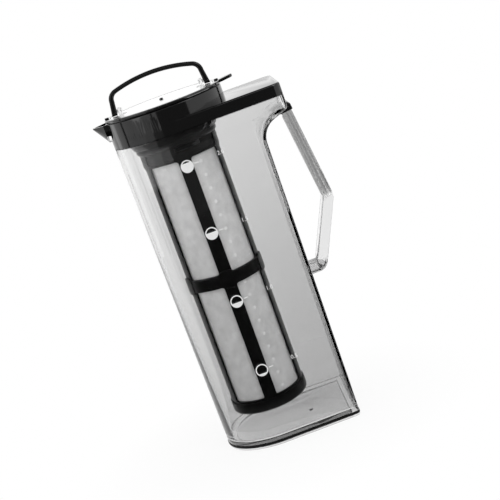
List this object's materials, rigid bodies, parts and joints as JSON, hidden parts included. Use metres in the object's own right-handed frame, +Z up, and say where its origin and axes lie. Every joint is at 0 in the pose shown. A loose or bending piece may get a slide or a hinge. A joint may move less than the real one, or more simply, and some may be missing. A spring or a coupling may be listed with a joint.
{
  "type": "iced tea maker",
  "caption": "Tall clear jug with a bent bar handle, a black pour cover with beak, and a turning lid with a bail that carries a mesh infuser.",
  "frame": {"origin": "middle of the footprint box, on the surface the jug stands on", "axes": "+Z up, +X towards the handle, -X towards the beak, Y across the jug"},
  "size_m": [0.161, 0.0956, 0.31],
  "materials": {
    "clear_plastic": "clear, smoke grey tint, polished",
    "black_plastic": "black, high gloss",
    "black_rubber": "matt black elastomer",
    "grey_silicone": "matt dark grey silicone",
    "satin_steel": "satin stainless steel",
    "woven_steel": "fine woven stainless mesh"
  },
  "bodies": {
    "jug": {"jug_shell": "clear_plastic", "foot_band": "black_rubber", "handle": "clear_plastic", "handle_boss": "black_plastic", "handle_pin": "satin_steel"},
    "cover": {"pour_cover": "black_plastic", "cover_gasket": "grey_silicone"},
    "seal": {"lid_seal": "grey_silicone"},
    "lid": {"lid_disc": "black_plastic", "lid_plug": "black_plastic", "lid_plate": "satin_steel", "lid_stud": "black_plastic", "bail_bracket_left": "satin_steel", "bail_bracket_right": "satin_steel", "bail_pin_left": "satin_steel", "bail_pin_right": "satin_steel"},
    "bail": {"bail": "black_plastic"},
    "infuser": {"infuser_frame": "black_plastic", "mesh_sleeve": "woven_steel", "mesh_base": "woven_steel", "mesh_clamp": "satin_steel"}
  },
  "joints": [
    {"name": "cover_lift", "type": "slide", "parent": "jug", "child": "cover", "axis": [0, 0, 1], "range_m": [0, 0.26]},
    {"name": "lid_lift", "type": "slide", "parent": "cover", "child": "seal", "axis": [0, 0, 1], "range_m": [0, 0.27]},
    {"name": "lid_turn", "type": "hinge", "parent": "seal", "child": "lid", "pos_m": [-0.022, 0, 0.27], "axis": [0, 0, 1], "range_deg": [0, 90]},
    {"name": "bail_fold", "type": "hinge", "parent": "lid", "child": "bail", "pos_m": [-0.022, 0, 0.2885], "axis": [1, 0, 0], "range_deg": [-90, 90]},
    {"name": "infuser_unlock", "type": "hinge", "parent": "lid", "child": "infuser", "pos_m": [-0.022, 0, 0.24], "axis": [0, 0, 1], "range_deg": [0, 26]}
  ]
}
